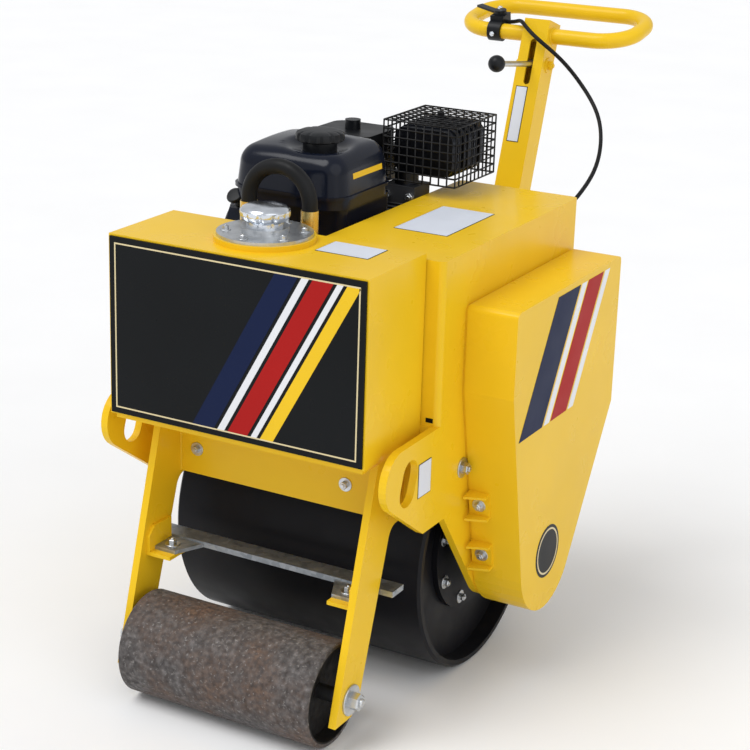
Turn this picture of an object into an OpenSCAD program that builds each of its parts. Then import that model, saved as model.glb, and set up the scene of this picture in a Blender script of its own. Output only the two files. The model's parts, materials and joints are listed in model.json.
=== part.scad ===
// Walk-behind single-drum road roller, parked on its front support roller.
// Millimetres, +Z up, front towards -Y, the operator stands at +Y.

/* [Drum] */
// Width of the drum
drum_w = 450; // [420:5:480]
// Diameter of the drum
drum_d = 426; // [400:2:430]
// Thickness of the drum shell
drum_wall = 12; // [8:1:18]
// Depth of an end web below the rim
drum_web_inset = 28; // [20:1:45]
// Thickness of an end web
drum_web_t = 12; // [8:1:18]
// Diameter of the bolted hub flange
drum_flange_d = 236; // [180:2:270]
// Thickness of the hub flange
drum_flange_t = 10; // [6:1:14]
// Diameter of the fixed axle
drum_axle_d = 50; // [40:1:60]

/* [Support roller] */
// Length of the front support roller
roller_l = 340; // [300:5:350]
// Diameter of the front support roller
roller_d = 164; // [140:2:180]
// Wall of the roller pipe
roller_wall = 9; // [6:1:14]
// Distance of the roller in front of the drum axle
roller_reach = 372; // [350:1:390]
// Diameter of the roller axle
roller_axle_d = 24; // [18:1:30]

/* [Frame] */
// Thickness of the side plates
plate_t = 12; // [8:1:16]
// Gap between the drum end and a side plate
drum_gap = 13; // [8:1:18]
// Height of the deck's top face
deck_z = 478; // [470:1:500]
// Thickness of the deck
deck_t = 8; // [6:1:12]
// Distance of the deck's front edge from the axle
deck_front = 224; // [222:1:235]
// Distance of the deck's rear edge behind the belt cover
deck_rear = 2; // [0:1:20]
// Thickness of the front and rear beams
beam_t = 8; // [6:1:12]
// Thickness of a front leg plate
leg_t = 12; // [8:1:16]
// Thickness of the tray under the tank
tray_t = 8; // [6:1:12]

/* [Water tank] */
// Width of the water tank
tank_w = 442; // [400:2:460]
// Depth of the water tank from front to back
tank_depth = 168; // [150:1:180]
// Height of the water tank
tank_h = 282; // [260:1:300]
// Thickness of the tank's sheet
tank_wall = 4; // [3:0.5:6]
// Thickness of the front panel
panel_t = 3; // [2:0.5:6]

/* [Covers] */
// Width of the upper belt cover
upper_w = 216; // [200:1:230]
// Length of the upper belt cover
upper_l = 482; // [460:1:490]
// Height of the upper belt cover
upper_h = 254; // [230:1:270]
// Width of the chain cover
chain_w = 86; // [70:1:100]
// Height of the chain cover's top above the floor
chain_top = 650; // [630:1:680]
// Thickness of the covers' sheet
cover_wall = 3; // [2:0.5:5]

/* [Engine] */
// Width of the fuel tank
fuel_w = 185; // [160:1:200]
// Length of the fuel tank
fuel_l = 188; // [170:1:190]
// Height of the fuel tank
fuel_h = 78; // [70:1:100]
// Diameter of the recoil starter's round cover
recoil_d = 160; // [140:2:170]
// Width of the muffler guard
cage_w = 136; // [120:1:150]
// Length of the muffler guard
cage_l = 147; // [130:1:160]
// Height of the muffler guard
cage_h = 100; // [90:1:120]
// Spacing of the guard's wires
cage_pitch = 13.5; // [11:0.5:18]

/* [Handle] */
// Sideways place of the handle column
column_x = 58; // [44:1:66]
// Width of the square handle column
column_w = 48; // [40:1:60]
// Length of the handle column
column_l = 569; // [540:1:600]
// Backward lean of the column in degrees
column_lean = 18; // [14:0.5:22]
// Diameter of the handle tube
tube_d = 27; // [22:1:30]
// Half length of the straight grip stretch
grip_half = 97; // [92:1:110]
// Depth of the handle loop between its bars
loop_depth = 144; // [130:1:160]
// Bend radius of the handle loop's corners
loop_r = 60; // [45:1:64]
// Upward tilt of the handle loop in degrees
loop_tilt = 10; // [6:0.5:14]

/* [Hidden] */
$fn = 64;

// Shared clearances and the overrun of every cut
over = 2;
running_fit = 0.05;
arc_steps = 14;

// Colours
yellow = [0.95, 0.74, 0.1];
black = [0.08, 0.08, 0.09];
gunmetal = [0.2, 0.2, 0.22];
zinc = [0.72, 0.73, 0.75];
rusty = [0.4, 0.36, 0.33];

// Drum and roller places
axle_z = drum_d / 2;
drum_half = drum_w / 2;
roller_z = roller_d / 2;
roller_half = roller_l / 2;
drum_axle_r = drum_axle_d / 2;
roller_axle_r = roller_axle_d / 2;
drum_edge = 4;
drum_hub_r = 55;
drum_hub_l = 40;
axle_collar_r = 40;
axle_collar_l = 18;
roller_web_inset = 26;
roller_web_t = 10;
roller_hub_r = 26;
roller_hub_l = 24;
roller_edge = 2;

// Side plates
tank_gap = 17;
plate_in = max(drum_half + drum_gap, tank_w / 2 + tank_gap);
plate_out = plate_in + plate_t;
plate_rear_drop = 78;
arm_foot_r = 86;
arm_spread = 190;
ear_low = 322;
ear_root = 258;
ear_reach = 380;
ear_nose_r = 47;
ear_nose_z = 430;
slot_w = 46;
slot_l = 72;
slot_tilt = 71;
slot_shift = [24, -11];

// Legs, cross plate and scraper
leg_in = 186;
leg_out = leg_in + leg_t;
tray_drop = 18;
tray_z = deck_z - tray_drop;
tray_low = tray_z - tray_t;
leg_toe = 44;
leg_heel = 30;
leg_foot_drop = 30;
leg_bevel = 26;
leg_top_y = 303;
leg_pit_y = 262;
leg_arm_z = 324;
leg_fillet = 24;
cross_y = 248;
cross_t = 8;
cross_h = 124;
beam_low = 342;
shelf_z = 222;
shelf_t = 6;
shelf_w = 44;
shelf_front = 352;
shelf_l = 60;
flange_h = 40;
flange_bevel = 14;
scraper_w = 34;
scraper_t = 9;
scraper_gap = 2;
scraper_front = shelf_front - shelf_l - scraper_gap;
scraper_end_gap = 5;
tab_t = 6;
tab_w = 60;
tab_l = 48;

// Tank, panel and filler
tank_back = deck_front;
tank_front = tank_back + tank_depth;
tank_top = tray_z + tank_h;
tray_margin = 6;
panel_margin = 3;
filler_x = -12;
filler_back = 101;
filler_y = -(tank_front - filler_back);
filler_ring_r = 76;
filler_ring_h = 8;
filler_flange_r = 72;
filler_flange_h = 5;
filler_bore_r = 26;
neck_r = 36;
neck_h = 13;
cap_r = 38;
cap_foot_r = 29;
cap_foot_h = 10;
cap_grip_h = 16;
cap_crown_h = 6;
cap_crown_in = 12;
cap_flute_r = 14;
cap_flute_in = 3;
cap_flutes = 8;

// Covers
upper_right = plate_out;
upper_left = upper_right - upper_w;
upper_setback = 2;
upper_front = -(deck_front - upper_setback);
upper_back = upper_front + upper_l;
deck_back = upper_back + deck_rear;
upper_corner = 10;
chain_front = 147;
chain_back = 248;
chain_front_waist = 515;
chain_back_waist = 400;
chain_foot_y = 15;
chain_foot_r = 98;
chain_corner = 10;
seam_w = 4;
seam_inset = 2.5;
clip_w = 34;
clip_h = 44;
clip_out = 22;
clip_t = 4;
clip_nose_share = 0.6;
clip_shares = [0.6, 0.88];

// Engine
engine_right = 10;
engine_left = -150;
engine_front = -100;
engine_back = 60;
engine_base_z = 540;
block_top = 690;
cowl_top = 750;
rail_w = 40;
rail_inset = 12;
rail_wall = 6;
rail_over = 14;
block_corner = 28;
stub_r = 16;
cowl_corner = 18;
fuel_overhang = 10;
fuel_x = engine_right + fuel_overhang;
fuel_nose = 28;
fuel_front = engine_front - fuel_nose;
fuel_corner = 42;
fuel_edge = 26;
fuel_taper = 7;
fuel_seam_h = 16;
fuel_lip = 4;
fuel_lip_t = 5;
fuel_neck_r = 27;
fuel_neck_h = 22;
fuel_cap_r = 35;
fuel_cap_h = 15;
fuel_cap_edge = 5;
fuel_cap_y = -54;
fuel_cap_x = -60;
fuel_cap_notch = 3;
fuel_cap_notches = 18;
recoil_y = -25;
recoil_z = 658;
recoil_depth = 62;
housing_t = 46;
housing_w = 172;
housing_h = 178;
housing_corner = 46;
recoil_slots = 14;
recoil_slot_w = 9;
recoil_slot_in = 44;
recoil_slot_out = 70;
recoil_skin = 4;
head_x = -56;
head_z = 632;
head_tilt = 22;
head_core = 78;
head_fin = 112;
head_fin_t = 4;
head_fin_pitch = 10;
head_fins = 8;
rocker_w = 88;
rocker_l = 22;
rocker_r = 16;
port_w = 58;
port_y = 116;
port_l = 54;
port_x = -8;
port_low = 640;
port_top = 744;
carb_inset = 4;
carb_x = engine_left + carb_inset;
carb_w = 30;
carb_l = 52;
carb_low = 672;
cleaner_x = -168;
cleaner_gap = 14;
cleaner_y = engine_back + cleaner_gap;
cleaner_w = 122;
cleaner_l = 118;
cleaner_low = 740;
cleaner_h = 84;
cleaner_corner = 22;
cleaner_lid_h = 26;
cleaner_lip = 4;
cleaner_knob_r = 13;
cleaner_knob_h = 16;
cage_x = -41;
cage_y = 115;
cage_z = 752;
cage_wire = 3;
cage_bolt_r = 6;
muffler_gap = 12;
muffler_drop = 10;
muffler_corner = 18;
muffler_rib = 2.5;
muffler_ribs = 5;
muffler_rib_w = 8;
pipe_r = 20;

// Hydraulic hose behind the tank
hose_x = -44;
hose_y = -200;
hose_r = 12;
hose_bend = 54;
hose_low = 770;
hose_top_z = 776;
ferrule_r = 13.5;
ferrule_h = 46;
nut_r = 17;
nut_h = 20;
line_r = 9;
nut_sides = 6;

// Handle
column_back = 72;
column_y = deck_back + column_back;
column_z = 430;
column_wall = 4;
tube_r = tube_d / 2;
tube_drop = 24;
tube_s = column_l - tube_drop;
lever_drop = 51;
slot_s = tube_s - lever_drop;
lever_slot_l = 80;
lever_slot_w = 12;
lever_r = 5;
lever_l = 136;
lever_tilt = 10;
lever_pin_r = 8;
knob_r = 14.5;
gusset_t = 8;
gusset_h = 150;
gusset_wrap = 44;
loop_y = column_y + tube_s * sin(column_lean);
loop_z = column_z + tube_s * cos(column_lean);
clamp_x = -84;
clamp_r = 18;
clamp_l = 24;
throttle_body = [26, 30, 26];
throttle_lever = [12, 62, 4];
throttle_lever_turn = 62;
throttle_hub_r = 11;
throttle_hub_h = 8;
gland_r = 11;
gland_inset = 22;
gland_drop = 18;
gland_h = 5;
gland_nose_r = 7;
gland_nose_h = 8;
cable_r = 3.5;
cable_lead = 16;
cable_sides = 10;
cable_steps = 4;

// Bearing cap on the left side plate
bearing_r = 78;
bearing_t = 10;
bearing_boss_r = 52;
bearing_boss_t = 16;

// Middle of the part's box, which is the origin on the floor
box_left = -(plate_out + bearing_t + bearing_boss_t);
box_right = plate_out + chain_w;
box_front = -(roller_reach + roller_d / 2);
box_back = loop_y + loop_depth * cos(loop_tilt) + tube_r;
mid = [(box_left + box_right) / 2, (box_front + box_back) / 2, 0];

// Route of the throttle cable from the lever to the gland in the upper cover
gland_at = [upper_right - gland_inset, upper_back, deck_z + upper_h - gland_drop];
throttle_exit = [column_x + clamp_x + throttle_body[0] / 2,
    loop_y + (throttle_body[1] * cos(loop_tilt) - throttle_body[2] * sin(loop_tilt)) / 2,
    loop_z + (throttle_body[1] * sin(loop_tilt) + throttle_body[2] * cos(loop_tilt)) / 2];
gland_exit = gland_at + [0, gland_h + gland_nose_h, 0];
// Offsets of the cable's bends from the straight line between its ends, at even steps
cable_bends = [
    [17, -5, 33], [18, -9, 44], [27, 1, 47], [33, 28, 49], [35, 64, 45], [40, 86, 39],
    [52, 91, 32], [57, 89, 26], [54, 79, 17], [45, 62, 10], [28, 39, 5]];
cable_step = (gland_exit - throttle_exit) / (len(cable_bends) + 1);
cable_route = concat(
    [for (k = [0:2]) throttle_exit + [k * cable_lead / 2, 0, 0]],
    [for (i = [0:len(cable_bends) - 1]) throttle_exit + (i + 1) * cable_step + cable_bends[i]],
    [for (k = [0:2]) gland_exit + [0, (2 - k) * cable_lead / 2, 0]]);

function arc(c, r, a0, a1, n = arc_steps) =
    [for (i = [0:n]) let (a = a0 + (a1 - a0) * i / n) c + r * [cos(a), sin(a)]];

// Angle at which the line from p touches the circle at c, on the given side
function touch(p, c, r, side) =
    let (d = p - c) atan2(d[1], d[0]) + side * acos(r / norm(d));

function unit(v) = v / norm(v);

// Arc that rounds the corner b of the path a, b, c with radius r
function rounded(a, b, c, r, n = 6) =
    let (u = unit(a - b), v = unit(c - b), half = acos(u * v) / 2, k = r / tan(half),
        o = b + unit(u + v) * r / sin(half), p = b + u * k, q = b + v * k,
        a0 = atan2(p[1] - o[1], p[0] - o[0]), raw = atan2(q[1] - o[1], q[0] - o[0]) - a0,
        turn = raw > 180 ? raw - 360 : raw < -180 ? raw + 360 : raw)
    arc(o, r, a0, a0 + turn, n);

// Moves a sub-part from the drum's own axes to the part's origin
module placed(c) {
    color(c) translate(-mid) children();
}

// Extrudes a side view (y, z) along X
module along_x(x, t) {
    translate([x, 0, 0]) rotate([90, 0, 90]) linear_extrude(t) children();
}

// Extrudes a front view (x, z) along Y
module along_y(y, t) {
    translate([0, y + t, 0]) rotate([90, 0, 0]) linear_extrude(t) children();
}

module rounded_square(w, l, r) {
    polygon(concat(
        arc([w - r, l - r], r, 0, 90), arc([r, l - r], r, 90, 180),
        arc([r, r], r, 180, 270), arc([w - r, r], r, 270, 360)));
}

module capsule(l, w) {
    polygon(concat(
        arc([(l - w) / 2, 0], w / 2, -90, 90), arc([-(l - w) / 2, 0], w / 2, 90, 270)));
}

module rod_x(x0, x1, r) {
    translate([x0, 0, 0]) rotate([0, 90, 0]) cylinder(r = r, h = x1 - x0);
}

module rod_y(y0, y1, r) {
    translate([0, y1, 0]) rotate([90, 0, 0]) cylinder(r = r, h = y1 - y0);
}

// Frame

module deck() {
    placed(yellow)
        translate([-plate_in, -deck_front, deck_z - deck_t])
            cube([2 * plate_in, deck_front + deck_back, deck_t]);
}

module front_beam() {
    placed(yellow)
        translate([-plate_in, -deck_front, beam_low])
            cube([2 * plate_in, beam_t, deck_z - deck_t - beam_low]);
}

module rear_beam() {
    placed(yellow)
        translate([-plate_out, deck_back, deck_z - plate_rear_drop])
            cube([2 * plate_out, beam_t, plate_rear_drop]);
}

module side_plate_outline() {
    foot = [0, axle_z];
    nose = [-(ear_reach - ear_nose_r), ear_nose_z];
    rear_low = [deck_back, deck_z - plate_rear_drop];
    arm_top = [-arm_spread, ear_low];
    root = [-ear_root, ear_low];
    crest = [-deck_front, deck_z];
    difference() {
        polygon(concat(
            [[deck_back, deck_z], rear_low],
            arc(foot, arm_foot_r, touch(rear_low, foot, arm_foot_r, -1),
                touch(arm_top, foot, arm_foot_r, 1) - 360),
            [arm_top, root],
            arc(nose, ear_nose_r, touch(root, nose, ear_nose_r, -1) + 360,
                touch(crest, nose, ear_nose_r, 1)),
            [crest]));
        translate(nose + slot_shift) rotate(slot_tilt) capsule(slot_l, slot_w);
    }
}

module side_plate_right() {
    placed(yellow) along_x(plate_in, plate_t) side_plate_outline();
}

module side_plate_left() {
    placed(yellow) along_x(-plate_out, plate_t) side_plate_outline();
}

module bearing_cap() {
    placed(yellow) translate([0, 0, axle_z]) {
        rod_x(-plate_out - bearing_t, -plate_out, bearing_r);
        rod_x(-plate_out - bearing_t - bearing_boss_t, -plate_out - bearing_t, bearing_boss_r);
    }
}

module tank_tray() {
    placed(yellow)
        translate([-tank_w / 2 + tray_margin, -tank_front + tray_margin, tray_low])
            cube([tank_w - 2 * tray_margin, tank_depth - tray_margin, tray_t]);
}

module leg_outline() {
    foot_z = roller_z - leg_foot_drop;
    toe = [-roller_reach - leg_toe, foot_z];
    heel = [-roller_reach + leg_heel, roller_z];
    pit = [-leg_pit_y, leg_arm_z];
    arm_end = [-deck_front, leg_arm_z];
    polygon(concat(
        [[-deck_front, tray_low], [-leg_top_y, tray_low], toe, [heel[0] - leg_bevel, foot_z], heel],
        rounded(heel, pit, arm_end, leg_fillet),
        [arm_end]));
}

module leg_right() {
    placed(yellow) along_x(leg_in, leg_t) leg_outline();
}

module leg_left() {
    placed(yellow) along_x(-leg_out, leg_t) leg_outline();
}

module cross_plate() {
    placed(yellow)
        translate([-leg_in, -cross_y - cross_t, tray_low - cross_h])
            cube([2 * leg_in, cross_t, cross_h]);
}

// Angle on the inside of a leg, its upright with a bevelled front corner
module scraper_bracket() {
    translate([leg_in - shelf_w, -shelf_front, shelf_z - shelf_t]) cube([shelf_w, shelf_l, shelf_t]);
    translate([0, -shelf_front, shelf_z]) along_x(leg_in - shelf_t, shelf_t)
        polygon([
            [0, 0], [shelf_l, 0], [shelf_l, flange_h], [flange_bevel, flange_h],
            [0, flange_h - flange_bevel]]);
}

module scraper_brackets() {
    placed(yellow) {
        scraper_bracket();
        mirror([1, 0, 0]) scraper_bracket();
    }
}

// Flat bar in front of the drum, with a bevelled tab on each bracket
module scraper_bar() {
    tab_out = leg_in - shelf_t;
    tab_front = -scraper_front - tab_l;
    placed(zinc) {
        translate([-drum_half + scraper_end_gap, -scraper_front, shelf_z])
            cube([drum_w - 2 * scraper_end_gap, scraper_w, scraper_t]);
        translate([0, 0, shelf_z]) linear_extrude(tab_t) for (side = [-1, 1])
            polygon([
                [side * tab_out, -scraper_front], [side * tab_out, tab_front],
                [side * (leg_in - shelf_w), tab_front], [side * (tab_out - tab_w), -scraper_front]]);
    }
}

// Rollers

module drum_profile() {
    r = drum_d / 2;
    inner = r - drum_wall;
    web_out = drum_half - drum_web_inset;
    web_in = web_out - drum_web_t;
    hub_in = web_in - drum_hub_l;
    bore = drum_axle_r + running_fit;
    half_outline = [
        [r, drum_half - drum_edge], [r - drum_edge, drum_half], [inner, drum_half], [inner, web_out],
        [bore, web_out], [bore, hub_in], [drum_hub_r, hub_in], [drum_hub_r, web_in], [inner, web_in]];
    count = len(half_outline);
    polygon(concat(
        half_outline,
        [for (i = [1:count]) let (p = half_outline[count - i]) [p[0], -p[1]]]));
}

module drum_shell() {
    placed(black) translate([0, 0, axle_z]) rotate([0, 90, 0]) rotate_extrude($fn = 96) drum_profile();
}

module drum_flange() {
    web_out = drum_half - drum_web_inset;
    difference() {
        rod_x(web_out, web_out + drum_flange_t, drum_flange_d / 2);
        rod_x(web_out - over, web_out + drum_flange_t + over, drum_axle_r + running_fit);
    }
}

module drum_flanges() {
    placed(gunmetal) translate([0, 0, axle_z]) {
        drum_flange();
        mirror([1, 0, 0]) drum_flange();
    }
}

module drum_axle() {
    placed(gunmetal) translate([0, 0, axle_z]) {
        rod_x(-plate_in, plate_in, drum_axle_r);
        rod_x(plate_in - axle_collar_l, plate_in, axle_collar_r);
        rod_x(-plate_in, -plate_in + axle_collar_l, axle_collar_r);
    }
}

module roller_profile() {
    r = roller_d / 2;
    inner = r - roller_wall;
    web_out = roller_half - roller_web_inset;
    web_in = web_out - roller_web_t;
    hub_in = web_in - roller_hub_l;
    bore = roller_axle_r + running_fit;
    half_outline = [
        [r, roller_half - roller_edge], [r - roller_edge, roller_half], [inner, roller_half],
        [inner, web_out], [bore, web_out], [bore, hub_in], [roller_hub_r, hub_in],
        [roller_hub_r, web_in], [inner, web_in]];
    count = len(half_outline);
    polygon(concat(
        half_outline,
        [for (i = [1:count]) let (p = half_outline[count - i]) [p[0], -p[1]]]));
}

module support_roller() {
    placed(rusty)
        translate([0, -roller_reach, roller_z]) rotate([0, 90, 0]) rotate_extrude() roller_profile();
}

module support_axle() {
    placed(gunmetal) translate([0, -roller_reach, roller_z]) rod_x(-leg_in, leg_in, roller_axle_r);
}

// Water tank

module water_tank() {
    placed(yellow) difference() {
        union() {
            translate([-tank_w / 2, -tank_front, tray_z]) cube([tank_w, tank_depth, tank_h]);
            translate([filler_x, filler_y, tank_top]) cylinder(r = filler_ring_r, h = filler_ring_h);
        }
        translate([-tank_w / 2 + tank_wall, -tank_front + tank_wall, tray_z + tank_wall])
            cube([tank_w - 2 * tank_wall, tank_depth - 2 * tank_wall, tank_h - 2 * tank_wall]);
        translate([filler_x, filler_y, tank_top - tank_wall - over])
            cylinder(r = filler_bore_r, h = tank_wall + filler_ring_h + 2 * over);
    }
}

module front_panel() {
    placed(black)
        translate([-tank_w / 2 + panel_margin, -tank_front - panel_t, tray_z + panel_margin])
            cube([tank_w - 2 * panel_margin, panel_t, tank_h - 2 * panel_margin]);
}

module filler_neck() {
    placed(zinc) translate([filler_x, filler_y, tank_top + filler_ring_h]) difference() {
        union() {
            cylinder(r = filler_flange_r, h = filler_flange_h);
            cylinder(r = neck_r, h = neck_h);
        }
        translate([0, 0, -over]) cylinder(r = filler_bore_r, h = neck_h + 2 * over);
    }
}

module filler_cap() {
    placed(zinc) translate([filler_x, filler_y, tank_top + filler_ring_h + neck_h]) {
        cylinder(r = cap_foot_r, h = cap_foot_h);
        translate([0, 0, cap_foot_h]) linear_extrude(cap_grip_h) difference() {
            circle(r = cap_r);
            for (i = [1:cap_flutes]) rotate(i * 360 / cap_flutes)
                translate([cap_r + cap_flute_r - cap_flute_in, 0]) circle(r = cap_flute_r);
        }
        translate([0, 0, cap_foot_h + cap_grip_h])
            cylinder(r1 = cap_r - cap_flute_in, r2 = cap_r - cap_crown_in, h = cap_crown_h);
    }
}

// Covers

module upper_cover() {
    placed(yellow) translate([upper_left, upper_front, deck_z]) difference() {
        linear_extrude(upper_h) rounded_square(upper_w, upper_l, upper_corner);
        translate([cover_wall, cover_wall, -over]) linear_extrude(upper_h - cover_wall + over)
            rounded_square(upper_w - 2 * cover_wall, upper_l - 2 * cover_wall, upper_corner - cover_wall);
    }
}

// Side view of the chain cover, set in by the given amount
module chain_outline(inset) {
    foot = [chain_foot_y, axle_z];
    r = chain_foot_r - inset;
    front = -chain_front + inset;
    back = chain_back - inset;
    top = chain_top - inset;
    front_waist = [front, chain_front_waist];
    back_waist = [back, chain_back_waist];
    corner = chain_corner - inset;
    polygon(concat(
        rounded(front_waist, [front, top], [back, top], corner),
        rounded([front, top], [back, top], back_waist, corner),
        [back_waist],
        arc(foot, r, touch(back_waist, foot, r, -1), touch(front_waist, foot, r, 1) - 360),
        [front_waist]));
}

// Chain cover, set in by a narrow seam against the side plate
module chain_cover() {
    placed(yellow) difference() {
        union() {
            along_x(plate_out, seam_w) chain_outline(seam_inset);
            along_x(plate_out + seam_w, chain_w - seam_w) chain_outline(0);
        }
        along_x(plate_out - over, chain_w - cover_wall + over) chain_outline(seam_inset + cover_wall);
    }
}

// Channel clip, its flanges drawn in towards the outer end
module cover_clip() {
    translate([0, -clip_t, -clip_h / 2]) cube([clip_w, clip_t, clip_h]);
    for (z = [-clip_h / 2, clip_h / 2 - clip_t]) translate([0, 0, z]) linear_extrude(clip_t)
        polygon([[0, 0], [0, -clip_out], [clip_w, -clip_out * clip_nose_share], [clip_w, 0]]);
}

module cover_clips() {
    foot = [chain_foot_y, axle_z];
    top = [-chain_front, chain_front_waist];
    low_angle = touch(top, foot, chain_foot_r, 1);
    low = foot + chain_foot_r * [cos(low_angle), sin(low_angle)];
    slope = atan2(top[0] - low[0], top[1] - low[1]);
    placed(yellow) for (share = clip_shares) {
        at = top + (low - top) * share;
        translate([plate_out + seam_w, at[0], at[1]]) rotate([-slope, 0, 0]) cover_clip();
    }
}

// Engine

module engine_rail(x) {
    translate([x, engine_front - rail_over, deck_z]) difference() {
        cube([rail_w, engine_back - engine_front + 2 * rail_over, engine_base_z - deck_z]);
        translate([rail_wall, -over, rail_wall])
            cube([rail_w, engine_back - engine_front + 2 * rail_over + 2 * over,
                engine_base_z - deck_z - 2 * rail_wall]);
    }
}

module engine_rails() {
    placed(yellow) {
        engine_rail(engine_left + rail_inset);
        engine_rail(engine_right - rail_inset - rail_w);
    }
}

module engine_block() {
    placed(gunmetal) {
        translate([0, engine_front, engine_base_z]) along_x(engine_left, engine_right - engine_left)
            rounded_square(engine_back - engine_front, block_top - engine_base_z, block_corner);
        translate([0, (engine_front + engine_back) / 2, (engine_base_z + block_top) / 2])
            rod_x(engine_right, upper_left, stub_r);
    }
}

module engine_cowl() {
    placed(black)
        translate([engine_left, engine_front, block_top])
            linear_extrude(cowl_top - block_top)
                rounded_square(engine_right - engine_left, engine_back - engine_front, cowl_corner);
}

module engine_cylinder() {
    stack = head_fins * head_fin_pitch;
    placed(gunmetal) intersection() {
        union() {
            translate([head_x, engine_back, head_z]) rotate([head_tilt, 0, 0]) {
                translate([-head_core / 2, -head_core, -head_core / 2])
                    cube([head_core, head_core + stack, head_core]);
                for (i = [1:head_fins])
                    translate([-head_fin / 2, i * head_fin_pitch, -head_fin / 2])
                        cube([head_fin, head_fin_t, head_fin]);
                translate([-rocker_w / 2, stack, -rocker_w / 2]) along_y(0, rocker_l)
                    rounded_square(rocker_w, rocker_w, rocker_r);
            }
            translate([port_x - port_w / 2, port_y, port_low]) cube([port_w, port_l, port_top - port_low]);
        }
        translate([engine_left, engine_back, deck_z]) cube([2 * fuel_w, upper_l, cage_z - deck_z]);
    }
}

module carburettor() {
    placed(gunmetal)
        translate([carb_x, engine_back, carb_low]) cube([carb_w, carb_l, cleaner_low - carb_low]);
}

// Upright view of the tank's upper shell, drawn in towards its rounded top
module shell_view(w, h) {
    top_left = [fuel_taper, h];
    top_right = [w - fuel_taper, h];
    polygon(concat(
        [[0, 0]], rounded([0, 0], top_left, top_right, fuel_edge),
        rounded(top_left, top_right, [w, 0], fuel_edge), [[w, 0]]));
}

module fuel_tank() {
    w = fuel_w - 2 * fuel_lip;
    l = fuel_l - 2 * fuel_lip;
    shell_h = fuel_h - fuel_seam_h - fuel_lip_t;
    placed(black) translate([fuel_x - fuel_w, fuel_front, cowl_top]) {
        translate([fuel_lip, fuel_lip, 0]) linear_extrude(fuel_seam_h)
            rounded_square(w, l, fuel_corner - fuel_lip);
        translate([0, 0, fuel_seam_h]) linear_extrude(fuel_lip_t) rounded_square(fuel_w, fuel_l, fuel_corner);
        translate([fuel_lip, fuel_lip, fuel_seam_h + fuel_lip_t]) intersection() {
            linear_extrude(shell_h) rounded_square(w, l, fuel_corner - fuel_lip);
            along_y(0, l) shell_view(w, shell_h);
            along_x(0, w) shell_view(l, shell_h);
        }
    }
}

module fuel_cap() {
    placed(black) translate([fuel_cap_x, fuel_cap_y, cowl_top + fuel_h]) {
        cylinder(r = fuel_neck_r, h = fuel_neck_h);
        translate([0, 0, fuel_neck_h]) difference() {
            rotate_extrude() polygon([
                [0, 0], [fuel_cap_r, 0], [fuel_cap_r, fuel_cap_h - fuel_cap_edge],
                [fuel_cap_r - fuel_cap_edge, fuel_cap_h], [0, fuel_cap_h]]);
            for (i = [1:fuel_cap_notches]) rotate(i * 360 / fuel_cap_notches)
                translate([fuel_cap_r + fuel_cap_notch / 2, 0, -over])
                    cylinder(r = fuel_cap_notch, h = fuel_cap_h + 2 * over);
        }
    }
}

// Fan housing with the round starter cover and its slots
module recoil_starter() {
    placed(black) translate([0, recoil_y, recoil_z]) difference() {
        union() {
            translate([0, -housing_w / 2, -housing_h / 2]) along_x(engine_left - housing_t, housing_t)
                rounded_square(housing_w, housing_h, housing_corner);
            rod_x(engine_left - recoil_depth, engine_left - housing_t, recoil_d / 2);
        }
        for (i = [1:recoil_slots]) rotate([i * 360 / recoil_slots, 0, 0])
            translate([engine_left - recoil_depth - over, recoil_slot_in, -recoil_slot_w / 2])
                cube([recoil_skin + over, recoil_slot_out - recoil_slot_in, recoil_slot_w]);
    }
}

module air_cleaner() {
    placed(black) translate([cleaner_x, cleaner_y, cleaner_low]) {
        linear_extrude(cleaner_h - cleaner_lid_h)
            rounded_square(cleaner_w, cleaner_l, cleaner_corner);
        translate([cleaner_lip, cleaner_lip, cleaner_h - cleaner_lid_h]) linear_extrude(cleaner_lid_h)
            rounded_square(cleaner_w - 2 * cleaner_lip, cleaner_l - 2 * cleaner_lip, cleaner_corner);
        translate([cleaner_w / 2, cleaner_l / 2, cleaner_h])
            cylinder(r = cleaner_knob_r, h = cleaner_knob_h);
    }
}

module muffler() {
    w = cage_w - 2 * cage_wire - 2 * muffler_gap;
    l = cage_l - 2 * cage_wire - 2 * muffler_gap;
    low = cage_z + muffler_gap;
    h = cage_h - cage_wire - muffler_drop - muffler_gap;
    x0 = cage_x + cage_wire + muffler_gap;
    y0 = cage_y + cage_wire + muffler_gap;
    step = l / (muffler_ribs + 1);
    placed(gunmetal) {
        translate([0, y0, 0]) along_y(0, l) translate([x0, low]) rounded_square(w, h, muffler_corner);
        for (i = [1:muffler_ribs])
            along_y(y0 + i * step - muffler_rib_w / 2, muffler_rib_w)
                translate([x0 - muffler_rib, low - muffler_rib])
                    rounded_square(w + 2 * muffler_rib, h + 2 * muffler_rib, muffler_corner + muffler_rib);
        translate([port_x, port_y + port_l / 2, port_top]) cylinder(r = pipe_r, h = low - port_top + over);
    }
}

// Flat wire panel w by h, with whole openings between the wires
module wire_panel(w, h) {
    nx = floor(w / cage_pitch);
    ny = floor(h / cage_pitch);
    dx = (w - cage_wire) / nx;
    dy = (h - cage_wire) / ny;
    difference() {
        square([w, h]);
        for (i = [0:nx - 1], j = [0:ny - 1])
            translate([cage_wire + i * dx, cage_wire + j * dy]) square([dx - cage_wire, dy - cage_wire]);
    }
}

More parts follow.
